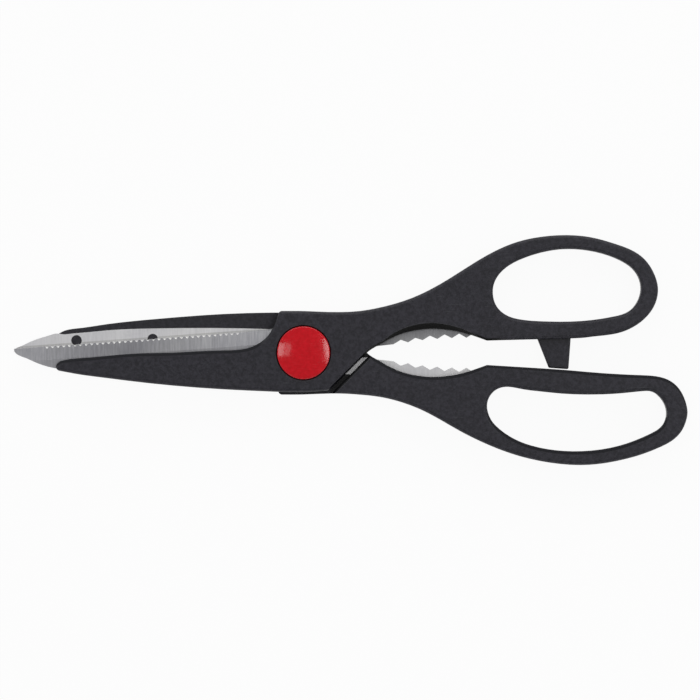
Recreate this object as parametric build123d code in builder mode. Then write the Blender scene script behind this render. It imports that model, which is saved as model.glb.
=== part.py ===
from build123d import *
from math import cos, pi, radians, sin, sqrt
import os

# Kitchen shears lying closed and flat: blades towards -X, finger loops towards +X, +Z up.
# The origin is on the pivot axis, at the plane that the shears rest on. All lengths are in
# millimetres. The front half carries the upper loop (+Y) and the lower blade, the rear half
# carries the lower loop (-Y) and the upper blade.

# Overall sizes, from the pivot axis
blade_reach = 90.4
body_half_width = 12.9
jaw_reach = 57.25
jaw_half_gap = 7.55
front_loop_reach = 110.5
front_loop_rise = 36.7
rear_loop_reach = 119.7
rear_loop_rise = 35.0

# Thicknesses along Z
thickness = 10.0
steel_thickness = 1.5
blade_gap = 0.1
sleeve_nose_height = 3.1

# Cutting edge
bevel_width = 4.2
edge_land = 0.25
plain_tip_length = 9.45
plain_heel_length = 0.5
serration_count = 35
serration_radius = 0.6
serration_depth = 0.2
serration_tilt = 45

# Jaw teeth
tooth_count = 6
tooth_row_start = 28.05
tooth_pitch = 4.55
tooth_depth = 1.4
jaw_bevel_width = 1.75
jaw_bevel_depth = 2.5

# Step between the pivot body and the handle of the other half
step_angle = 45
step_distance = 15.1
step_slope_width = 0.8
step_bevel_width = 0.6
jaw_end_angle = 20

# Moulding
edge_round = 1.0
plug_radius = 1.65
corner_round = 1.2
nose_round = 1.3

# Stop peg under the front loop, resting against the rear loop when the shears are closed
peg_start = 72.9
peg_root_width = 10.4
peg_root_depth = 2.0
peg_foot_setback = 3.6
peg_foot_width = 6.1
peg_toe_round = 0.6
peg_edge_round = 0.5
peg_height = 6.0
peg_clearance = 0.35

# Pivot
bolt_radius = 2.5
bolt_running_fit = 0.05
bolt_head_radius = 5.0
bolt_head_height = 1.1
bolt_head_round = 0.4
bolt_end_chamfer = 0.3
slot_width = 1.2
slot_depth = 0.6
thread_fit = 0.02
nut_across_flats = 8.0
nut_height = 2.1
nut_seat_clearance = 0.1
washer_seat_clearance = 0.2
thrust_washer_height = 0.4
spring_washer_height = 0.4
spring_washer_steel = 0.3
washer_radius = 5.2
washer_bore_fit = 0.15
sliding_gap = 0.02

# Pivot caps
cap_radius = 8.25
cap_clearance = 0.15
cap_recess_depth = 1.2
cap_recess_chamfer = 0.3
cap_rim_height = 0.35
cap_dome_height = 1.15
cap_rim_round = 0.35
cap_skirt_outer_radius = 6.4
cap_skirt_inner_radius = 5.6
cap_skirt_fit = 0.05
cap_skirt_depth = 0.7
cap_hollow_height = 0.8

# How far a cut runs past the surface that it opens, and how close two heights count as one
overrun = 1.0
tiny = 0.001

# Heights of one half, in its own frame: its own outer face is at the full thickness and its
# inner face lies half the blade gap past the middle.
inner_face = (thickness + blade_gap) / 2
steel_face = inner_face + steel_thickness

# Outlines, in the frame of one half: +Y points towards that half's own finger loop.
# Along the blade, X is a share of blade_reach and Y a share of body_half_width.
front_spine_shares = [
    (-0.995, 0.000), (-0.964, -0.114), (-0.922, -0.242), (-0.881, -0.339), (-0.817, -0.421),
    (-0.749, -0.495), (-0.690, -0.536), (-0.571, -0.581), (-0.425, -0.598), (-0.287, -0.598),
    (-0.108, -0.571),
]
rear_spine_shares = [
    (-0.995, -0.097), (-0.977, -0.157), (-0.957, -0.223), (-0.936, -0.288), (-0.915, -0.344),
    (-0.894, -0.388), (-0.873, -0.433), (-0.853, -0.466), (-0.829, -0.447), (-0.803, -0.462),
    (-0.749, -0.495), (-0.690, -0.536), (-0.571, -0.581), (-0.425, -0.598), (-0.287, -0.598),
    (-0.108, -0.571),
]
front_tip_share = (-1.000, 0.097)
rear_tip_share = (-1.000, -0.030)
edge_end_share = (-0.213, 0.496)
heel_shares = [(-0.165, 0.540), (-0.110, 0.579)]
bevel_end_share = -0.090
sleeve_slope_share = -0.100
sleeve_inner_shares = [
    (-0.855, -0.329), (-0.848, -0.247), (-0.825, -0.177), (-0.749, -0.121), (-0.610, -0.031),
    (-0.425, 0.010), (-0.330, 0.048), (-0.231, 0.070), (-0.192, 0.114), (-0.152, 0.237),
    (-0.124, 0.404), (-0.108, 0.567),
]
front_nose_share = (-0.859, -0.412)
rear_nose_share = (-0.848, -0.450)
front_sleeve_outer_shares = [
    (-0.819, -0.467), (-0.770, -0.528), (-0.701, -0.593), (-0.563, -0.712), (-0.425, -0.809),
    (-0.287, -0.879), (-0.149, -0.927), (-0.083, -0.945),
]
rear_sleeve_outer_shares = [
    (-0.829, -0.525), (-0.770, -0.600), (-0.701, -0.671), (-0.563, -0.785), (-0.425, -0.869),
    (-0.287, -0.935), (-0.149, -0.969), (-0.081, -0.974),
]
plug_shares = [(-0.784, -0.300), (-0.521, -0.332)]

# Round the pivot, X and Y are shares of body_half_width.
body_corner_share = (-0.590, 1.012)
body_top_shares = [(0.005, 1.010), (0.409, 0.993), (0.893, 0.985), (1.378, 1.013)]
body_foot_share = 0.908
tang_pivot_shares = [(-0.500, 0.740), (0.480, 0.800), (0.860, 0.560), (1.000, 0.522), (1.140, 0.520)]
tang_back_shares = [(1.180, 0.060), (0.600, -0.480)]

# Along the jaw, X is a share of jaw_reach and Y a share of jaw_half_gap.
jaw_arc_shares = [
    (0.345, 0.000), (0.398, 0.271), (0.469, 0.577), (0.545, 0.821), (0.621, 0.948),
    (0.698, 1.000), (0.774, 0.967), (0.851, 0.872), (0.922, 0.715), (1.000, 0.504),
]
tang_root_shares = [(0.351, 0.180), (0.402, 0.277)]
tang_end_shares = [(0.981, 0.785), (0.992, 1.240), (0.899, 1.570), (0.692, 1.653), (0.436, 1.240)]
tooth_tip_shares = [0.350, 0.430, 0.520, 0.570, 0.605, 0.620]

# Round a finger loop, X is a share of the loop's reach and Y a share of its rise.
front_loop_shares = [
    (0.217, 0.386), (0.314, 0.476), (0.412, 0.632), (0.541, 0.866), (0.606, 0.945),
    (0.671, 0.986), (0.744, 1.000), (0.815, 0.979), (0.880, 0.925), (0.929, 0.867),
    (0.961, 0.798), (0.987, 0.685), (1.000, 0.539), (0.990, 0.403), (0.964, 0.295),
    (0.929, 0.217), (0.883, 0.164), (0.815, 0.137), (0.754, 0.122),
]
front_hole_shares = [
    (0.534, 0.530), (0.541, 0.615), (0.562, 0.700), (0.612, 0.793), (0.669, 0.851),
    (0.725, 0.880), (0.782, 0.878), (0.838, 0.848), (0.895, 0.784), (0.930, 0.710),
    (0.949, 0.612), (0.952, 0.530), (0.944, 0.445), (0.922, 0.360), (0.875, 0.308),
    (0.782, 0.270), (0.669, 0.268), (0.612, 0.283), (0.574, 0.317), (0.546, 0.389),
]
rear_loop_shares = [
    (0.200, 0.394), (0.253, 0.438), (0.305, 0.505), (0.357, 0.598), (0.409, 0.700),
    (0.461, 0.789), (0.513, 0.864), (0.565, 0.923), (0.618, 0.965), (0.670, 0.991),
    (0.722, 1.000), (0.774, 0.988), (0.826, 0.956), (0.878, 0.908), (0.930, 0.838),
    (0.957, 0.789), (0.983, 0.704), (0.996, 0.609), (1.000, 0.530), (0.996, 0.448),
    (0.983, 0.345), (0.970, 0.289), (0.945, 0.233), (0.917, 0.208), (0.878, 0.199),
    (0.774, 0.180), (0.722, 0.165), (0.613, 0.137),
]
rear_hole_shares = [
    (0.478, 0.490), (0.480, 0.425), (0.487, 0.376), (0.503, 0.326), (0.529, 0.303),
    (0.565, 0.321), (0.618, 0.345), (0.670, 0.363), (0.735, 0.372), (0.826, 0.361),
    (0.878, 0.343), (0.910, 0.349), (0.930, 0.402), (0.942, 0.469), (0.946, 0.545),
    (0.936, 0.647), (0.904, 0.724), (0.826, 0.827), (0.715, 0.879), (0.618, 0.848),
    (0.565, 0.793), (0.513, 0.687), (0.489, 0.600),
]


def scaled(shares, x_size, y_size):
    """Turn shares of two sizes into points."""
    return [(x * x_size, y * y_size) for x, y in shares]


def along_blade(shares):
    return scaled(shares, blade_reach, body_half_width)


def round_pivot(shares):
    return scaled(shares, body_half_width, body_half_width)


def along_jaw(shares):
    return scaled(shares, jaw_reach, jaw_half_gap)


with BuildSketch() as washer_seat:
    Circle(washer_radius + washer_seat_clearance)

with BuildSketch() as nut_seat:
    RegularPolygon(nut_across_flats / 2 + nut_seat_clearance, 6, major_radius=False)

front_half = {
    "name": "front",
    "side": Plane.XY,
    "tip": along_blade([front_tip_share])[0],
    "nose": along_blade([front_nose_share])[0],
    "spine": along_blade(front_spine_shares),
    "sleeve_outer": along_blade(front_sleeve_outer_shares),
    "loop": scaled(front_loop_shares, front_loop_reach, front_loop_rise),
    "hole": scaled(front_hole_shares, front_loop_reach, front_loop_rise),
    "seat": washer_seat.sketch,
    "cap_rim": cap_rim_height,
    "cap_dome": cap_dome_height,
}
rear_half = {
    "name": "rear",
    "side": Plane(origin=(0, 0, thickness), x_dir=(1, 0, 0), z_dir=(0, 0, -1)),
    "tip": along_blade([rear_tip_share])[0],
    "nose": along_blade([rear_nose_share])[0],
    "spine": along_blade(rear_spine_shares),
    "sleeve_outer": along_blade(rear_sleeve_outer_shares),
    "loop": scaled(rear_loop_shares, rear_loop_reach, rear_loop_rise),
    "hole": scaled(rear_hole_shares, rear_loop_reach, rear_loop_rise),
    "seat": nut_seat.sketch,
    "cap_rim": 0,
    "cap_dome": 0,
}


def on_side(half, plane):
    """Carry a plane from the frame of one half into the frame of the whole part."""
    return Plane(half["side"].location * plane.location)


def tooth_row():
    """The zigzag of the jaw teeth, from the loop end back to the pivot end."""
    points = []
    for index in reversed(range(tooth_count)):
        tip_x = tooth_row_start + index * tooth_pitch
        tip_y = tooth_tip_shares[index] * jaw_half_gap
        points.append((tip_x + tooth_pitch / 2, tip_y + tooth_depth))
        points.append((tip_x, tip_y))
    return points


def blade_sketch(half):
    """Outline of one steel stamping: blade, pivot eye, tang and jaw teeth."""
    edge_end = along_blade([edge_end_share])[0]
    heel = along_blade(heel_shares)
    with BuildSketch() as outline:
        with BuildLine():
            Line(half["tip"], edge_end)
            Spline(edge_end, *heel)
            tang_top = [heel[-1], *round_pivot(tang_pivot_shares)]
            Spline(*tang_top)
            tang_end = along_jaw(list(reversed(tang_end_shares)))
            Spline(tang_top[-1], *tang_end)
            teeth = tooth_row()
            tang_root = along_jaw(list(reversed(tang_root_shares)))
            Polyline(tang_end[-1], *teeth, *tang_root)
            tang_back = round_pivot(tang_back_shares)
            Spline(tang_root[-1], *tang_back, half["spine"][-1])
            Spline(*reversed(half["spine"]), half["tip"])
        make_face()
        with Locations(*along_blade(plug_shares)):
            Circle(plug_radius, mode=Mode.SUBTRACT)
        Circle(bolt_radius + bolt_running_fit, mode=Mode.SUBTRACT)
    return outline.sketch


def edge_frame(half):
    """Tip, unit vector along the cutting edge towards the pivot, and unit vector into the steel."""
    tip = Vector(*half["tip"], inner_face)
    edge_end = Vector(*along_blade([edge_end_share])[0], inner_face)
    along_edge = (edge_end - tip).normalized()
    into_steel = along_edge.cross(Vector(0, 0, 1))
    return tip, along_edge, into_steel, (edge_end - tip).length


def bevel_plane(half):
    """Plane across the blade at the pivot end of its bevel, facing the tip, and the bevel's length."""
    tip, along_edge, into_steel, _ = edge_frame(half)
    bevel_length = (bevel_end_share * blade_reach - tip.X) / along_edge.X
    end = tip + along_edge * bevel_length
    return Plane(origin=end, x_dir=into_steel, z_dir=-along_edge), bevel_length


def serration_places(half):
    """One place on the cutting edge for each scallop, with its axis leaning into the steel."""
    tip, along_edge, into_steel, edge_length = edge_frame(half)
    pitch = (edge_length - plain_tip_length - plain_heel_length) / serration_count
    lean = radians(serration_tilt)
    axis = Vector(0, 0, cos(lean)) + into_steel * sin(lean)
    set_back = serration_depth - serration_radius / cos(lean)
    places = []
    for index in range(serration_count):
        run = plain_tip_length + (index + 1 / 2) * pitch
        centre = tip + along_edge * run + into_steel * set_back
        places.append(on_side(half, Plane(origin=centre, x_dir=along_edge, z_dir=axis)))
    return places


def jaw_spline(rise=0, set_back=0):
    """The jaw's arc, widened by a rise at its middle, tangent to the slant edge and set back with it."""
    arc = along_jaw(jaw_arc_shares)
    start_x = arc[0][0]
    span = arc[-1][0] - start_x
    widened = [(x, y + rise * sin(pi * (x - start_x) / span)) for x, y in arc[1:-1]]
    slant = radians(step_angle)
    fall = radians(jaw_end_angle)
    start = (start_x - set_back * sin(slant), set_back * cos(slant))
    ends = ((cos(slant), sin(slant)), (cos(fall), -sin(fall)))
    return Spline(start, *widened, arc[-1], tangents=ends)


def moulding_sketch(half):
    """Outline of one moulding: sleeve, pivot body and finger loop, with the finger hole."""
    nose = half["nose"]
    corner = round_pivot([body_corner_share])[0]
    foot_drop = body_foot_share * body_half_width
    with BuildSketch() as outline:
        with BuildLine():
            Spline(nose, *along_blade(sleeve_inner_shares), corner)
            jaw = jaw_spline()
            rail = Line(jaw @ 1, half["loop"][-1])
            top = round_pivot(body_top_shares)
            Spline(corner, *top, *half["loop"], tangents=((1, 0), -(rail % 1)))
            foot = (jaw @ 0) - Vector(foot_drop, foot_drop)
            Line(foot, jaw @ 0)
            Spline(foot, *reversed(half["sleeve_outer"]), nose)
        make_face()
        sharp = [Vector(*corner), foot, jaw @ 1]
        fillet([outline.vertices().sort_by_distance(point)[0] for point in sharp], corner_round)
        fillet(outline.vertices().sort_by_distance(Vector(*nose))[0], nose_round)
        with BuildLine():
            Spline(*half["hole"], periodic=True)
        make_face(mode=Mode.SUBTRACT)
    return outline.sketch


def jaw_bevel_sketch(height):
    """Section of the bevel along the slant edge and the jaw, at a height above its foot."""
    share = height / jaw_bevel_depth
    foot_drop = body_foot_share * body_half_width + overrun
    with BuildSketch() as section:
        with BuildLine():
            arc = jaw_spline(jaw_bevel_width * share, step_bevel_width * share)
            foot = (arc @ 0) - Vector(foot_drop, foot_drop)
            Polyline(arc @ 1, ((arc @ 1).X, foot.Y), foot, arc @ 0)
        make_face()
    return section.sketch


def step_plane(half):
    """Upright plane whose X runs from the pivot axis square to the step."""
    turn = radians(step_angle)
    outwards = (cos(turn), sin(turn), 0)
    return on_side(half, Plane(origin=(0, 0, 0), x_dir=outwards, z_dir=(sin(turn), -cos(turn), 0)))


def sleeve_fall():
    """Length and drop of the curve on which the outer face falls towards the sleeve's nose."""
    length = (sleeve_slope_share - sleeve_inner_shares[0][0]) * blade_reach
    return length, thickness - inner_face - sleeve_nose_height


def own_face_height(x):
    """Height of the moulding's outer face: level at the pivot, falling along the sleeve."""
    length, drop = sleeve_fall()
    run = sleeve_slope_share * blade_reach - x
    if run < 0:
        return thickness
    radius = (length**2 + drop**2) / (2 * drop)
    return thickness - radius + sqrt(radius**2 - run**2)


def face_edges(half, part):
    """Edges round the outer face and the far face, but not the jaw arc on the outer face."""
    jaw_start = jaw_arc_shares[0][0] * jaw_reach
    slope_start = sleeve_slope_share * blade_reach
    chosen = []
    for edge in part.edges():
        points = [half["side"].to_local_coords(edge.position_at(share)) for share in (0, 0.5, 1)]
        middle = points[1]
        on_far = all(abs(p.Z) < tiny for p in points)
        on_own = all(abs(p.Z - own_face_height(p.X)) < tiny for p in points)
        across = all(abs(p.X - slope_start) < tiny for p in points)
        in_jaw = jaw_start < middle.X < jaw_reach and abs(middle.Y) < jaw_half_gap + jaw_bevel_width
        if on_far or (on_own and not across and not in_jaw):
            chosen.append(edge)
    return chosen


def peg_sketch():
    """Stop peg: it slants from the front loop's rail down to the rail of the rear loop."""
    rail_y = front_half["loop"][-1][1]
    (near_x, near_y), (away_x, away_y) = rear_half["loop"][-1], rear_half["loop"][-2]
    rail_slope = (away_y - near_y) / (away_x - near_x)
    foot_start = peg_start + peg_foot_setback
    foot_end = foot_start + peg_foot_width
    foot = [(x, peg_clearance - near_y - rail_slope * (x - near_x)) for x in (foot_start, foot_end)]
    root_end = peg_start + peg_root_width
    with BuildSketch() as outline:
        with BuildLine():
            Polyline(
                (peg_start, rail_y + peg_root_depth),
                (peg_start, rail_y),
                *foot,
                (root_end, rail_y),
                (root_end, rail_y + peg_root_depth),
                close=True,
            )
        make_face()
        fillet([outline.vertices().sort_by_distance(Vector(*point))[0] for point in foot], peg_toe_round)
    return outline.sketch


def cap_profile(half):
    """Half section of a pivot cap: its disc, its skirt, and a dome on the front one."""
    seat = thickness - cap_recess_depth
    rim = thickness + half["cap_rim"]
    hollow = seat + cap_hollow_height
    skirt_end = seat - cap_skirt_depth
    with BuildSketch() as section:
        with BuildLine():
            Polyline(
                (0, rim),
                (0, hollow),
                (cap_skirt_inner_radius, hollow),
                (cap_skirt_inner_radius, skirt_end),
                (cap_skirt_outer_radius, skirt_end),
                (cap_skirt_outer_radius, seat),
                (cap_radius, seat),
                (cap_radius, rim),
                close=True,
            )
        make_face()
        if half["cap_dome"] > half["cap_rim"]:
            with BuildLine():
                dome = TangentArc((0, thickness + half["cap_dome"]), (cap_radius, rim), tangent=(1, 0))
                Polyline(dome @ 1, (0, rim), dome @ 0)
            make_face()
    return section.sketch


def ring_edge(half, part, radius):
    """The circle of a given radius that lies furthest towards the half's outer face."""
    circles = part.edges().filter_by(GeomType.CIRCLE)
    rings = circles.filter_by(lambda edge: abs(edge.radius - radius) < tiny)
    return rings.sort_by(Axis(half["side"].origin, half["side"].z_dir))[-1]


os.makedirs("parts", exist_ok=True)

# Stop peg, one with the front moulding
with BuildPart() as peg:
    with BuildSketch(Plane.XY.offset((thickness - peg_height) / 2)):
        add(peg_sketch())
    extrude(amount=peg_height)
    fillet(peg.edges().filter_by(Plane.XY), peg_edge_round)

for half in (front_half, rear_half):
    side = half["side"]

    # Steel stamping, its outer face towards the half's own sleeve
    stamping = blade_sketch(half)
    across_blade, bevel_length = bevel_plane(half)
    with BuildPart() as blade:
        with BuildSketch(side.offset(inner_face)):
            add(stamping)
        extrude(amount=steel_thickness)
        with BuildSketch(on_side(half, across_blade)):
            with BuildLine():
                Polyline(
                    (-overrun, edge_land),
                    (0, edge_land),
                    (bevel_width, steel_thickness),
                    (bevel_width, steel_thickness + overrun),
                    (-overrun, steel_thickness + overrun),
                    close=True,
                )
            make_face()
        extrude(amount=bevel_length + overrun, mode=Mode.SUBTRACT)
        with Locations(*serration_places(half)):
            Cylinder(serration_radius, 2 * (steel_thickness + overrun), mode=Mode.SUBTRACT)
    blade.part.label = half["name"] + "_blade"
    export_step(blade.part, "parts/" + blade.part.label + ".step")

    # Moulding round the stamping
    outline = moulding_sketch(half)
    length, drop = sleeve_fall()
    nose_x = sleeve_inner_shares[0][0] * blade_reach
    far = blade_reach + rear_loop_reach
    with BuildPart() as handle:
        with BuildSketch(side):
            add(outline)
        extrude(amount=thickness)

        # The sleeve's outer face falls towards its nose
        with BuildSketch(on_side(half, Plane.XZ)):
            with BuildLine():
                fall = TangentArc((nose_x + length, thickness), (nose_x, thickness - drop), tangent=(-1, 0))
                Polyline(
                    fall @ 1,
                    (nose_x - overrun, thickness - drop),
                    (nose_x - overrun, thickness + overrun),
                    (nose_x + length, thickness + overrun),
                    fall @ 0,
                )
            make_face()
        extrude(amount=far, both=True, mode=Mode.SUBTRACT)
        chosen = face_edges(half, handle)
        fillet(chosen, edge_round)

        # Bevel along the jaw
        with BuildSketch(side.offset(thickness - jaw_bevel_depth)):
            add(jaw_bevel_sketch(0))
        with BuildSketch(side.offset(thickness + overrun)):
            add(jaw_bevel_sketch(jaw_bevel_depth + overrun))
        loft(ruled=True, mode=Mode.SUBTRACT)

        # Room for the pivot body of the other half, up to a sloping step
        with BuildSketch(step_plane(half)):
            slope = step_slope_width / inner_face
            with BuildLine():
                Polyline(
                    (-far, inner_face),
                    (step_distance, inner_face),
                    (step_distance + slope * (inner_face + overrun), -overrun),
                    (-far, -overrun),
                    close=True,
                )
            make_face()
        extrude(amount=far, both=True, mode=Mode.SUBTRACT)
        if half is front_half:
            add(peg.part)
        add(blade.part, mode=Mode.SUBTRACT)

        # Recess of the cap, pocket of its skirt, and seat of the washers or the nut
        with BuildSketch(side.offset(thickness)):
            Circle(cap_radius + cap_clearance)
        extrude(amount=-cap_recess_depth, mode=Mode.SUBTRACT)
        chamfer(ring_edge(half, handle, cap_radius + cap_clearance), cap_recess_chamfer)
        with BuildSketch(side.offset(thickness - cap_recess_depth)):
            Circle(cap_skirt_outer_radius + cap_skirt_fit)
        extrude(amount=-cap_skirt_depth - cap_skirt_fit, mode=Mode.SUBTRACT)
        with BuildSketch(side.offset(steel_face)):
            add(half["seat"])
        extrude(amount=thickness - steel_face, mode=Mode.SUBTRACT)
        with BuildSketch(side.offset(inner_face)):
            Circle(bolt_radius + bolt_running_fit)
        extrude(amount=steel_thickness, mode=Mode.SUBTRACT)
    handle.part.label = half["name"] + "_handle"
    export_step(handle.part, "parts/" + handle.part.label + ".step")

    # Cap over the pivot
    with BuildPart() as cap:
        with BuildSketch(on_side(half, Plane.XZ)):
            add(cap_profile(half))
        revolve(axis=Axis.Z)
        fillet(ring_edge(half, cap, cap_radius), cap_rim_round)
    cap.part.label = half["name"] + "_cap"
    export_step(cap.part, "parts/" + cap.part.label + ".step")

# Pivot stack, from the nut in the rear half up to the bolt head in the front half
nut_end = thickness - steel_face - nut_height
washer_face = steel_face + thrust_washer_height + sliding_gap
head_base = washer_face + spring_washer_height

with BuildPart() as pivot_bolt:
    with BuildSketch(Plane.XY.offset(nut_end)):
        Circle(bolt_radius)
    extrude(amount=head_base - nut_end)
    chamfer(pivot_bolt.edges().sort_by(Axis.Z)[0], bolt_end_chamfer)
    with BuildSketch(Plane.XY.offset(head_base)):
        Circle(bolt_head_radius)
    extrude(amount=bolt_head_height)
    fillet(pivot_bolt.edges().sort_by(Axis.Z)[-1], bolt_head_round)
    with BuildSketch(Plane.XY.offset(head_base + bolt_head_height)):
        Rectangle(2 * (bolt_head_radius + overrun), slot_width)
    extrude(amount=-slot_depth, mode=Mode.SUBTRACT)
pivot_bolt.part.label = "pivot_bolt"
export_step(pivot_bolt.part, "parts/pivot_bolt.step")

with BuildPart() as pivot_nut:
    with BuildSketch(Plane.XY.offset(nut_end)):
        RegularPolygon(nut_across_flats / 2, 6, major_radius=False)
        Circle(bolt_radius + thread_fit, mode=Mode.SUBTRACT)
    extrude(amount=nut_height)
pivot_nut.part.label = "pivot_nut"
export_step(pivot_nut.part, "parts/pivot_nut.step")

with BuildPart() as thrust_washer:
    with BuildSketch(Plane.XY.offset(steel_face)):
        Circle(washer_radius)
        Circle(bolt_radius + washer_bore_fit, mode=Mode.SUBTRACT)
    extrude(amount=thrust_washer_height)
thrust_washer.part.label = "thrust_washer"
export_step(thrust_washer.part, "parts/thrust_washer.step")

with BuildPart() as spring_washer:
    with BuildSketch(Plane.XZ):
        with BuildLine():
            Polyline(
                (bolt_head_radius, washer_face),
                (bolt_head_radius, washer_face + spring_washer_steel),
                (bolt_radius + washer_bore_fit, head_base),
                (bolt_radius + washer_bore_fit, head_base - spring_washer_steel),
                close=True,
            )
        make_face()
    revolve(axis=Axis.Z)
spring_washer.part.label = "spring_washer"
export_step(spring_washer.part, "parts/spring_washer.step")
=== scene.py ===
import bpy
from math import pi
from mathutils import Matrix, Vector


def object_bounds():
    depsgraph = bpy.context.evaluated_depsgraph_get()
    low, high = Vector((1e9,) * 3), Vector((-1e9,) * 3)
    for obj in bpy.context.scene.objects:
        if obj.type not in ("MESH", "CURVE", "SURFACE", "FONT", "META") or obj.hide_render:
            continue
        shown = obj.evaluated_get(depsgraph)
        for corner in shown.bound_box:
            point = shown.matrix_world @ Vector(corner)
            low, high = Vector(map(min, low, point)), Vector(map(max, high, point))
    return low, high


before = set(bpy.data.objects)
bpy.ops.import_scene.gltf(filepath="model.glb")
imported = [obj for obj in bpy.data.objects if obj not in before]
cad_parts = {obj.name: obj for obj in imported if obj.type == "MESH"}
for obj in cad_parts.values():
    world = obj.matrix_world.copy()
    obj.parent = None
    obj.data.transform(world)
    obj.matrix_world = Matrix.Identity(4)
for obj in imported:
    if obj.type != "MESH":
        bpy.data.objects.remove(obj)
cad_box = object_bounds()

MM = 0.001

# The photograph's frame, in its own pixels
FRAME_PIXELS = 700
PIVOT_PIXEL = (303.6, 352.8)
PIXEL_SIZE = 0.3121 * MM
CAMERA_LENS = 500
SENSOR_WIDTH = 36
CAMERA_CLIP_SHARE = 2
MIDDLE_HEIGHT = 5 * MM

# Light levels: 1 is white. Steel that lies flat mirrors the dark port overhead. The port's size
# is the sine of its angle from straight up, and its edge is given in shares of that size.
SKY_LEVEL = 0.62
MIRRORED_SKY_LEVEL = 0.8
DARK_PORT_SIZE = (0.41, 0.68)
DARK_PORT_EDGE = (0.9, 1.3)
DARK_PORT_LEVEL = 0.30
NEAR_SIDE_SPAN = (-0.7, 0.5)
NEAR_SIDE_SHARE = 0.9

# Soft lights: place in metres, size in metres and radiance
SOFTBOXES = {
    "left_light": ((-0.318, 0.044, 0.9), (0.17, 0.085), 5.5),
    "left_fill": ((-0.222, 0.044, 0.9), (0.17, 0.075), 2.4),
    "right_light": ((0.345, 0.047, 0.92), (0.46, 0.10), 7.0),
    "top_light": ((0.0, 0.9, 0.6), (1.2, 0.55), 1.9),
    "low_light": ((0.0, -0.9, 0.3), (1.2, 0.2), 1.2),
}

# Floor: the gap keeps it out of the plane of the undersides
FLOOR_REACH = 2.0
FLOOR_GAP = 0.15 * MM
FLOOR_GLOW_SHARE = 0.94
FLOOR_MIRRORED_SHARE = 0.9
FLOOR_FINISH = {"Base Color": (0.7, 0.7, 0.7, 1), "Roughness": 0.9, "Specular IOR Level": 0.1}

WHITE = (1.0, 1.0, 1.0)

# Noise textures: size of their features along X, Y and Z, detail and roughness
MOULD_GRAIN = ((0.22 * MM,) * 3, 3.0, 0.5)
MOULD_SPECK = ((0.55 * MM,) * 3, 3.0, 0.6)
MOULD_MOTTLE = ((1.2 * MM,) * 3, 5.0, 0.8)
MOULD_CLOUD = ((14 * MM,) * 3, 2.0, 0.5)
MOULD_SCRATCH = ((6 * MM, 0.12 * MM, 6 * MM), 2.0, 0.4)
GRIND_LINE = ((0.11 * MM, 7 * MM, 7 * MM), 2.0, 0.5)
GRIND_BAND = ((0.6 * MM, 7 * MM, 7 * MM), 5.0, 0.7)
GRIND_CLOUD = ((16 * MM,) * 3, 1.0, 0.5)
STEEL_MOTTLE = ((2.2 * MM,) * 3, 3.0, 0.5)
TURNED_MOTTLE = ((2.2 * MM,) * 3, 4.0, 0.5)
CAP_MOTTLE = ((1.2 * MM,) * 3, 3.0, 0.5)
CAP_RIPPLE = ((3.5 * MM,) * 3, 1.0, 0.5)
CAP_SCRATCH = ((5 * MM, 0.1 * MM, 5 * MM), 2.0, 0.4)
WEAR_PATCH = ((1.1 * MM,) * 3, 4.0, 0.65)

# Spans of a noise's values: the one that most textures use, and those of the finer ones
NOISE_SPAN = (0.3, 0.7)
MOULD_MOTTLE_SPAN = (0.4, 0.6)
WEAR_PATCH_SPAN = (0.38, 0.60)

# Scratches: turn from the X axis in radians, and the noise value that they start at
MOULD_SCRATCHES = (0.6, 0.73)
CAP_SCRATCHES = ((0.4, 0.66), (2.0, 0.68))
SCRATCH_FALL = 0.05

# Bumps: height and strength
MOULD_GRAIN_BUMP = (0.02 * MM, 0.6)
MOULD_SPECK_BUMP = (0.05 * MM, 0.5)
GRIND_BUMP = (0.004 * MM, 0.5)
CAP_RIPPLE_BUMP = (0.02 * MM, 0.3)

# Wear along edges, on the moulding also a painted highlight: the turn is the cosine between the
# plain and the rounded normal
EDGE_WEAR_WIDTH = 0.35 * MM
STEEL_WEAR_WIDTH = EDGE_WEAR_WIDTH / 2
EDGE_WEAR_TURN = (0.995, 0.93)
WEAR_PATCH_SHARES = (0.1, 1.0)
BEVEL_SAMPLES = 6

# Painted shade in recesses: the span is of the open share of the surroundings
RECESS_REACH = 2.5 * MM
RECESS_SPAN = (0.35, 0.92)
RECESS_SAMPLES = 8

# Black moulding
MOULD_SPECULAR = 0.4
MOULD_COLOURS = ((0.0030, 0.0026, 0.0072), (0.0195, 0.0185, 0.0270))
MOULD_TINTS = ((0.84, 0.84, 0.86), (1.0, 0.99, 1.0))
# Rubbed edges and hairlines, lighter also as a painted highlight along the edges
MOULD_WORN_AND_HIGHLIGHT_COLOUR = (0.055, 0.055, 0.060)
# Painted shade: the moulding's darkest share in recesses
MOULD_RECESS_SHARE = 0.15
MOULD_ROUGHNESS = (0.40, 0.56)
# Painted shade: the sleeve's colour times its shade, darker on the rear sleeve
SLEEVE_SPAN = (-10 * MM, -14 * MM)
FRONT_SLEEVE_SHADE = 1.0
REAR_SLEEVE_SHADE = 0.8
ARM_SPAN = (8 * MM, 12 * MM)
# Painted shade: edges towards +Y over a span along X, painted near black to hide the highlight
# that their rounding catches
SHADED_EDGE_FACING = (0.08, 0.25)
SHADED_EDGE_COLOUR = (0.010, 0.010, 0.013)
# Painted shade: the moulding's bevel beside the jaw, where it faces -Y, painted near black
JAW_BEVEL_SPOT = ((38.5 * MM, 4 * MM, 8 * MM), (26 * MM, 9 * MM, 9 * MM))
JAW_BEVEL_FALL = (0.0, 0.15)
JAW_BEVEL_FACING = (-0.25, -0.4)
JAW_BEVEL_SHADE_COLOUR = (0.001, 0.001, 0.001)
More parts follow.
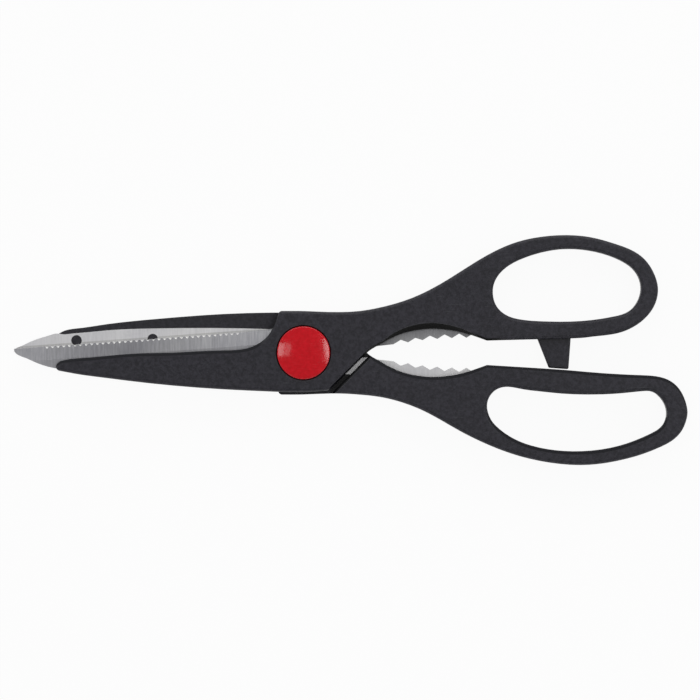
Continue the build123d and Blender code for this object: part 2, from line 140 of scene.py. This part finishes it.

# Blade steel: dull outer face and bevel, bright inner face. The bevel's darker colour is painted
# shade against the light that its slope catches, and the serration facets' lighter colour is a
# painted glint.
INNER_COLOURS = ((0.68, 0.675, 0.69), (0.80, 0.795, 0.805))
OUTER_COLOURS = ((0.37, 0.37, 0.385), (0.51, 0.51, 0.53))
SHADED_BEVEL_COLOURS = ((0.29, 0.29, 0.305), (0.43, 0.43, 0.445))
# Painted glints on the steep serration facets
SCALLOP_GLINT_COLOURS = ((0.76, 0.76, 0.745), (0.84, 0.84, 0.825))
GRIND_TINTS = ((0.80, 0.80, 0.82), (1.0, 1.0, 0.99))
BEVEL_SLOPE = (0.999, 0.996)
SCALLOP_SLOPE = (0.9, 0.85)
FACE_TURN = 0.1
# Painted shade: the outer face darker over a span along X, most in the jaw's recess under the
# moulding
JAW_SPAN = (13 * MM, 21 * MM)
JAW_RECESS_REACH = 6 * MM
JAW_RECESS_SHARE = 0.3
JAW_SHADE_TINT = (0.72, 0.72, 0.72)
# Painted shade: a soft spot on the outer face darker, for a dimmer reflection there
SHADED_SPOT = ((-56 * MM, 0.0, 6 * MM), (34 * MM, 24 * MM, 24 * MM))
SHADED_SPOT_TINT = (0.60, 0.60, 0.61)
STEEL_WORN_COLOUR = (0.64, 0.64, 0.63)
STEEL_ROUGHNESS = (0.40, 0.52)

# Painted shadow: a darker line on the rear blade along the front blade's edge when the shears are
# closed
EDGE_SHADOW_START = (-90.4 * MM, 1.25 * MM)
EDGE_SHADOW_RISE = 0.0724
EDGE_SHADOW_OFFSET = 0.3 * MM
EDGE_SHADOW_WIDTH = 0.5 * MM
EDGE_SHADOW_TINT = (0.72, 0.72, 0.70)

# Plain steel of the pivot's small pieces
TURNED_COLOURS = ((0.40, 0.40, 0.41), (0.56, 0.56, 0.57))
TURNED_ROUGHNESS = (0.24, 0.38)

# Red caps
CAP_SPECULAR = 0.36
CAP_COLOURS = ((0.46, 0.002, 0.007), (0.56, 0.004, 0.012))
CAP_WORN_COLOUR = (0.60, 0.05, 0.06)
CAP_ROUGHNESS = (0.10, 0.34)

# Places of a Mix node's two colours among its inputs, and of its colour among its outputs
MIX_FIRST = 6
MIX_SECOND = 7
MIX_RESULT = 2


def add_node(tree, kind, inputs=None, **settings):
    """Add a shader node. Each input is a value or another node's output."""
    node = tree.nodes.new(kind)
    for name, value in settings.items():
        setattr(node, name, value)
    for name, value in (inputs or {}).items():
        if isinstance(value, bpy.types.NodeSocket):
            tree.links.new(value, node.inputs[name])
        else:
            node.inputs[name].default_value = value
    return node


def new_material(name, inputs):
    """A material with one Principled shader that has these inputs."""
    material = bpy.data.materials.new(name)
    material.use_nodes = True
    tree = material.node_tree
    tree.nodes.clear()
    shader = add_node(tree, "ShaderNodeBsdfPrincipled", inputs)
    add_node(tree, "ShaderNodeOutputMaterial", {"Surface": shader.outputs["BSDF"]})
    return material, tree, shader


def finish_shader(tree, shader, colour, roughness, normal=None):
    """Link a shader's colour, its roughness and, where there is bump, its normal."""
    tree.links.new(colour, shader.inputs["Base Color"])
    tree.links.new(roughness, shader.inputs["Roughness"])
    if normal:
        tree.links.new(normal, shader.inputs["Normal"])


def maths(tree, operation, *values):
    """The result of an operation on numbers."""
    node = add_node(tree, "ShaderNodeMath", dict(enumerate(values)), operation=operation)
    return node.outputs["Value"]


def vector_maths(tree, operation, result, *vectors):
    """The result of an operation on vectors, "Vector" or "Value"."""
    node = add_node(tree, "ShaderNodeVectorMath", dict(enumerate(vectors)), operation=operation)
    return node.outputs[result]


def remapped(tree, value, span, onto=(0.0, 1.0), **settings):
    """A span of a value mapped onto a range, and held at the range's ends outside it."""
    inputs = {
        "Value": value,
        "From Min": span[0], "From Max": span[1],
        "To Min": onto[0], "To Max": onto[1],
    }
    return add_node(tree, "ShaderNodeMapRange", inputs, **settings).outputs["Result"]


def noise(tree, texture, turn=0.0):
    """Noise in the piece's own frame, turned about Z."""
    size, detail, roughness = texture
    mapping = add_node(
        tree, "ShaderNodeMapping",
        {
            "Vector": add_node(tree, "ShaderNodeTexCoord").outputs["Object"],
            "Rotation": (0, 0, turn),
            "Scale": [1 / length for length in size],
        },
    )
    inputs = {
        "Vector": mapping.outputs["Vector"],
        "Scale": 1.0, "Detail": detail, "Roughness": roughness,
    }
    return add_node(tree, "ShaderNodeTexNoise", inputs).outputs["Fac"]


def colour_between(tree, value, colours, span=NOISE_SPAN):
    """A colour that runs from the first to the second over a span of the value."""
    ramp = add_node(tree, "ShaderNodeValToRGB", {"Fac": value})
    for stop, place, colour in zip(ramp.color_ramp.elements, span, colours):
        stop.position = place
        stop.color = (*colour, 1)
    return ramp.outputs["Color"]


def mixed(tree, kind, share, first, second):
    """Two colours, each a node's output or plain numbers, mixed by a share."""
    inputs = {"Factor": share}
    for socket, colour in ((MIX_FIRST, first), (MIX_SECOND, second)):
        inputs[socket] = (*colour, 1) if isinstance(colour, tuple) else colour
    node = add_node(tree, "ShaderNodeMix", data_type="RGBA", blend_type=kind, inputs=inputs)
    return node.outputs[MIX_RESULT]


def blended(tree, share, first, second):
    """The first colour where the share is 0, the second where it is 1."""
    return mixed(tree, "MIX", share, first, second)


def tinted(tree, colour, tint):
    """A colour multiplied by another."""
    return mixed(tree, "MULTIPLY", 1.0, colour, tint)


def mixed_shader(tree, share, first, second):
    """The first shader where the share is 0, the second where it is 1."""
    return add_node(tree, "ShaderNodeMixShader", {0: share, 1: first, 2: second}).outputs["Shader"]


def bumped(tree, height, bump, below=None):
    """The normal of a bump from a texture, on top of an earlier bump if there is one."""
    distance, strength = bump
    inputs = {"Height": height, "Distance": distance, "Strength": strength}
    if below:
        inputs["Normal"] = below
    return add_node(tree, "ShaderNodeBump", inputs).outputs["Normal"]


def edge_wear_and_highlight(tree, width):
    """0 on plain surfaces, up to 1 in rubbed patches along the outer edges, which on the moulding
    also carry a painted highlight.
    """
    plain = add_node(tree, "ShaderNodeNewGeometry").outputs["Normal"]
    bevel = add_node(tree, "ShaderNodeBevel", {"Radius": width}, samples=BEVEL_SAMPLES)
    turned = vector_maths(tree, "DOT_PRODUCT", "Value", bevel.outputs["Normal"], plain)
    edge = remapped(tree, turned, EDGE_WEAR_TURN)
    patches = remapped(tree, noise(tree, WEAR_PATCH), WEAR_PATCH_SPAN, WEAR_PATCH_SHARES)
    return maths(tree, "MULTIPLY", edge, patches)


def recess_shade(tree, darkest, reach):
    """A share for the colour, as painted shade: dark in narrow recesses, 1 in the open."""
    near = add_node(
        tree, "ShaderNodeAmbientOcclusion", {"Distance": reach}, samples=RECESS_SAMPLES
    )
    return remapped(tree, near.outputs["AO"], RECESS_SPAN, (darkest, 1.0))


def scratches(tree, texture, turn, start):
    """Sparse fine scratches that run at a turn from the X axis."""
    return remapped(tree, noise(tree, texture, turn), (start, start + SCRATCH_FALL))


def parts_of(tree, kind):
    """X, Y and Z of the place ("Object") or the normal ("Normal") in the piece's own frame."""
    place = add_node(tree, "ShaderNodeTexCoord")
    return add_node(tree, "ShaderNodeSeparateXYZ", {"Vector": place.outputs[kind]}).outputs


def stretch_share(tree, span):
    """0 before a span along X, 1 after it, in the piece's own frame."""
    return remapped(tree, parts_of(tree, "Object")["X"], span)


def facing_share(tree, axis, span):
    """0 to 1 over a span of the normal's part along an axis."""
    return remapped(tree, parts_of(tree, "Normal")[axis], span)


def slope_share(tree, span):
    """0 where a surface lies flatter than the span's start, 1 where it is steeper than its end."""
    rise = maths(tree, "ABSOLUTE", parts_of(tree, "Normal")["Z"])
    return remapped(tree, rise, span)


def soft_spot(tree, spot):
    """1 at a place on the piece, falling to 0 at a reach along X, Y and Z."""
    centre, reach = spot
    place = add_node(tree, "ShaderNodeTexCoord").outputs["Object"]
    mapping = add_node(
        tree, "ShaderNodeMapping",
        {"Vector": place, "Location": centre, "Scale": reach},
        vector_type="TEXTURE",
    )
    gradient = add_node(
        tree, "ShaderNodeTexGradient",
        {"Vector": mapping.outputs["Vector"]},
        gradient_type="SPHERICAL",
    )
    return gradient.outputs["Fac"]


def mould_colour(tree):
    """Black with fine mottling, cloudy flow marks, hairlines, rubbed edges that are lighter also
    as a painted highlight, and painted shade in recesses.
    """
    colour = colour_between(tree, noise(tree, MOULD_MOTTLE), MOULD_COLOURS, MOULD_MOTTLE_SPAN)
    colour = tinted(tree, colour, colour_between(tree, noise(tree, MOULD_CLOUD), MOULD_TINTS))
    hairlines = scratches(tree, MOULD_SCRATCH, *MOULD_SCRATCHES)
    # Rubbed edges lighter: wear, and also a painted highlight along them
    worn_and_highlight = maths(tree, "MAXIMUM", edge_wear_and_highlight(tree, EDGE_WEAR_WIDTH), hairlines)
    colour = blended(tree, worn_and_highlight, colour, MOULD_WORN_AND_HIGHLIGHT_COLOUR)
    # Painted shade: the moulding darker in recesses
    return tinted(tree, colour, recess_shade(tree, MOULD_RECESS_SHARE, RECESS_REACH))


def moulded_plastic(name, shaded_edge_span, sleeve_shade):
    """Matt black moulding with a fine spark-eroded grain.

    Over a span along X its edges towards +Y are painted near black and made rougher beside the
    steel, as painted shade that hides the highlight of their rounding. Its sleeve is darkened by
    painted shade of its own, and the bevel beside the jaw is painted near black as painted shade.
    """
    material, tree, shader = new_material(name, {"Specular IOR Level": MOULD_SPECULAR})
    # Painted shade over the sleeve
    sleeve_shading = blended(tree, stretch_share(tree, SLEEVE_SPAN), WHITE, (sleeve_shade,) * 3)
    colour = tinted(tree, mould_colour(tree), sleeve_shading)
    # Painted shade on the edges towards +Y beside the steel
    facing = facing_share(tree, "Y", SHADED_EDGE_FACING)
    shaded_edge = maths(tree, "MULTIPLY", stretch_share(tree, shaded_edge_span), facing)
    colour = blended(tree, shaded_edge, colour, SHADED_EDGE_COLOUR)
    # Painted shade on the bevel beside the jaw
    inside = remapped(tree, soft_spot(tree, JAW_BEVEL_SPOT), JAW_BEVEL_FALL)
    bevel = maths(tree, "MULTIPLY", inside, facing_share(tree, "Y", JAW_BEVEL_FACING))
    colour = blended(tree, bevel, colour, JAW_BEVEL_SHADE_COLOUR)
    speck = noise(tree, MOULD_SPECK)
    sheen = remapped(tree, speck, NOISE_SPAN, MOULD_ROUGHNESS)
    roughness = maths(tree, "MAXIMUM", sheen, maths(tree, "MAXIMUM", shaded_edge, bevel))
    grain = bumped(tree, noise(tree, MOULD_GRAIN), MOULD_GRAIN_BUMP)
    normal = bumped(tree, speck, MOULD_SPECK_BUMP, grain)
    finish_shader(tree, shader, colour, roughness, normal)
    return material


def edge_shadow_line(tree):
    """Painted shadow of the other blade's edge: 1 along the line where that edge lies when the
    shears are closed, falling to 0 on both sides.
    """
    place = parts_of(tree, "Object")
    start_x, start_y = EDGE_SHADOW_START
    height = EDGE_SHADOW_RISE * start_x - start_y - EDGE_SHADOW_OFFSET
    run = maths(tree, "MULTIPLY_ADD", place["X"], -EDGE_SHADOW_RISE, height)
    distance = maths(tree, "ABSOLUTE", maths(tree, "ADD", place["Y"], run))
    return remapped(
        tree, distance, (0.0, EDGE_SHADOW_WIDTH), (1.0, 0.0), interpolation_type="SMOOTHSTEP"
    )


def outer_steel(tree, band):
    """Dull outer face with its bevel. Painted shade darkens the bevel, the jaw's recess and one
    place on the blade.
    """
    outer = colour_between(tree, band, OUTER_COLOURS)
    # Painted shade in the jaw
    jaw = tinted(tree, outer, recess_shade(tree, JAW_RECESS_SHARE, JAW_RECESS_REACH))
    jaw = tinted(tree, jaw, JAW_SHADE_TINT)
    dull = blended(tree, stretch_share(tree, JAW_SPAN), outer, jaw)
    # Painted shade: the bevel's colour darker, against the light that its slope catches
    bevel = colour_between(tree, band, SHADED_BEVEL_COLOURS)
    dull = blended(tree, slope_share(tree, BEVEL_SLOPE), dull, bevel)
    # Painted shade at one place on the outer face
    return blended(tree, soft_spot(tree, SHADED_SPOT), dull, tinted(tree, dull, SHADED_SPOT_TINT))


def ground_steel(name, outward):
    """Blade steel with cross grinding marks. Its outer face looks up (1) or down (-1)."""
    material, tree, shader = new_material(name, {"Metallic": 1.0})
    band = noise(tree, GRIND_BAND)
    inner = colour_between(tree, band, INNER_COLOURS)
    facing = facing_share(tree, "Z", (-FACE_TURN * outward, FACE_TURN * outward))
    colour = blended(tree, facing, inner, outer_steel(tree, band))
    # Painted glints: the steep serration facets lighter
    scallop_glint = colour_between(tree, band, SCALLOP_GLINT_COLOURS)
    colour = blended(tree, slope_share(tree, SCALLOP_SLOPE), colour, scallop_glint)
    colour = tinted(tree, colour, colour_between(tree, noise(tree, GRIND_CLOUD), GRIND_TINTS))
    # Painted shadow of the front blade's edge on the rear blade
    if outward < 0:
        colour = tinted(tree, colour, blended(tree, edge_shadow_line(tree), WHITE, EDGE_SHADOW_TINT))
    colour = blended(tree, edge_wear_and_highlight(tree, STEEL_WEAR_WIDTH), colour, STEEL_WORN_COLOUR)
    roughness = remapped(tree, noise(tree, STEEL_MOTTLE), NOISE_SPAN, STEEL_ROUGHNESS)
    finish_shader(
        tree, shader, colour, roughness, bumped(tree, noise(tree, GRIND_LINE), GRIND_BUMP)
    )
    return material


def turned_steel():
    """Plain steel of the pivot's small pieces."""
    material, tree, shader = new_material("turned_steel", {"Metallic": 1.0})
    mottle = noise(tree, TURNED_MOTTLE)
    roughness = remapped(tree, mottle, NOISE_SPAN, TURNED_ROUGHNESS)
    finish_shader(tree, shader, colour_between(tree, mottle, TURNED_COLOURS), roughness)
    return material


def glossy_red():
    """Glossy red moulding of the pivot caps, with hairline scratches and a rubbed rim."""
    material, tree, shader = new_material("glossy_red", {"Specular IOR Level": CAP_SPECULAR})
    colour = colour_between(tree, noise(tree, CAP_MOTTLE), CAP_COLOURS)
    colour = blended(tree, edge_wear_and_highlight(tree, EDGE_WEAR_WIDTH), colour, CAP_WORN_COLOUR)
    marks = maths(
        tree, "MAXIMUM", *[scratches(tree, CAP_SCRATCH, *run) for run in CAP_SCRATCHES]
    )
    roughness = remapped(tree, marks, (0.0, 1.0), CAP_ROUGHNESS)
    finish_shader(
        tree, shader, colour, roughness, bumped(tree, noise(tree, CAP_RIPPLE), CAP_RIPPLE_BUMP)
    )
    return material


def dress(node, material):
    """Give a CAD node its material."""
    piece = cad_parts[node]
    piece.data.materials.clear()
    piece.data.materials.append(material)


def photo_point(pixel, height):
    """Where a pixel of the photograph's frame lies, at a height over the rest plane."""
    x = (pixel[0] - PIVOT_PIXEL[0]) * PIXEL_SIZE
    y = (PIVOT_PIXEL[1] - pixel[1]) * PIXEL_SIZE
    return Vector((x, y, height))


def add_camera():
    """Overhead camera, far enough away to look almost square at every piece."""
    data = bpy.data.cameras.new("camera")
    data.lens = CAMERA_LENS
    data.sensor_width = SENSOR_WIDTH
    distance = FRAME_PIXELS * PIXEL_SIZE * CAMERA_LENS / SENSOR_WIDTH
    data.clip_end = CAMERA_CLIP_SHARE * distance
    camera = bpy.data.objects.new("camera", data)
    middle = (FRAME_PIXELS / 2, FRAME_PIXELS / 2)
    camera.location = photo_point(middle, MIDDLE_HEIGHT + distance)
    bpy.context.scene.collection.objects.link(camera)
    bpy.context.scene.camera = camera


def seen_directly(tree):
    """The Light Path outputs, and 1 where the camera sees a surface itself or through glass."""
    path = add_node(tree, "ShaderNodeLightPath").outputs
    return path, maths(tree, "MAXIMUM", path["Is Camera Ray"], path["Is Transmission Ray"])


def floor_paper():
    """Pale paper that glows to the eye and in mirrors, and is clear from below."""
    material, tree, shader = new_material("floor_paper", FLOOR_FINISH)
    path, seen = seen_directly(tree)
    seen = maths(tree, "MULTIPLY", seen, FLOOR_GLOW_SHARE)
    mirrored = maths(tree, "MULTIPLY", path["Is Glossy Ray"], FLOOR_MIRRORED_SHARE)
    glow = add_node(tree, "ShaderNodeEmission", {"Color": (*WHITE, 1), "Strength": 1.0})
    share = maths(tree, "MAXIMUM", seen, mirrored)
    paper = mixed_shader(tree, share, shader.outputs["BSDF"], glow.outputs["Emission"])
    clear = add_node(tree, "ShaderNodeBsdfTransparent").outputs["BSDF"]
    below = add_node(tree, "ShaderNodeNewGeometry").outputs["Backfacing"]
    output = next(node for node in tree.nodes if node.type == "OUTPUT_MATERIAL")
    tree.links.new(mixed_shader(tree, below, paper, clear), output.inputs["Surface"])
    return material


def add_floor():
    """Pale floor that the shears lie on."""
    reach = FLOOR_REACH
    mesh = bpy.data.meshes.new("floor")
    corners = [(-reach, -reach, 0), (reach, -reach, 0), (reach, reach, 0), (-reach, reach, 0)]
    mesh.from_pydata(corners, [], [range(len(corners))])
    mesh.materials.append(floor_paper())
    floor = bpy.data.objects.new("floor", mesh)
    floor.location.z = cad_box[0].z - FLOOR_GAP
    bpy.context.scene.collection.objects.link(floor)


def mirrored_sky(tree, place):
    """Level that glossy surfaces mirror: dark in the port overhead."""
    width, height = DARK_PORT_SIZE
    across = vector_maths(tree, "MULTIPLY", "Vector", place, (1 / width, 1 / height, 0))
    reach = vector_maths(tree, "LENGTH", "Value", across)
    levels = (DARK_PORT_LEVEL, MIRRORED_SKY_LEVEL)
    return remapped(tree, reach, DARK_PORT_EDGE, levels, interpolation_type="SMOOTHSTEP")


def add_world():
    """White surroundings, softer as light and dimmer towards -Y."""
    world = bpy.data.worlds.new("studio")
    world.use_nodes = True
    bpy.context.scene.world = world
    tree = world.node_tree
    tree.nodes.clear()
    place = add_node(tree, "ShaderNodeTexCoord").outputs["Generated"]
    path, seen = seen_directly(tree)
    level = add_node(
        tree, "ShaderNodeMix",
        {"Factor": path["Is Glossy Ray"], "A": SKY_LEVEL, "B": mirrored_sky(tree, place)},
        data_type="FLOAT",
    )
    parts = add_node(tree, "ShaderNodeSeparateXYZ", {"Vector": place})
    side = remapped(tree, parts.outputs["Y"], NEAR_SIDE_SPAN, (NEAR_SIDE_SHARE, 1.0))
    lit = maths(tree, "MULTIPLY", level.outputs["Result"], side)
    background = add_node(
        tree, "ShaderNodeBackground",
        {"Color": (*WHITE, 1), "Strength": maths(tree, "MAXIMUM", seen, lit)},
    )
    add_node(tree, "ShaderNodeOutputWorld", {"Surface": background.outputs["Background"]})


def add_softbox(name, place, size, radiance):
    """Rectangular soft light that looks at the pivot."""
    data = bpy.data.lights.new(name, "AREA")
    data.shape = "RECTANGLE"
    data.size, data.size_y = size
    data.energy = radiance * pi * size[0] * size[1]
    light = bpy.data.objects.new(name, data)
    light.location = place
    light.rotation_mode = "QUATERNION"
    light.rotation_quaternion = Vector(place).to_track_quat("Z", "Y")
    bpy.context.scene.collection.objects.link(light)


plastic = {
    "front": moulded_plastic("front_plastic", SLEEVE_SPAN, FRONT_SLEEVE_SHADE),
    "rear": moulded_plastic("rear_plastic", ARM_SPAN, REAR_SLEEVE_SHADE),
}
steel = {"front": ground_steel("front_steel", 1), "rear": ground_steel("rear_steel", -1)}
small_steel = turned_steel()
red = glossy_red()
for side in ("front", "rear"):
    dress(side + "_handle", plastic[side])
    dress(side + "_blade", steel[side])
    dress(side + "_cap", red)
for node in ("thrust_washer", "spring_washer", "pivot_bolt", "pivot_nut"):
    dress(node, small_steel)

add_camera()
add_floor()
add_world()
for name, (place, size, radiance) in SOFTBOXES.items():
    add_softbox(name, place, size, radiance)

bpy.context.scene.view_settings.view_transform = "Standard"
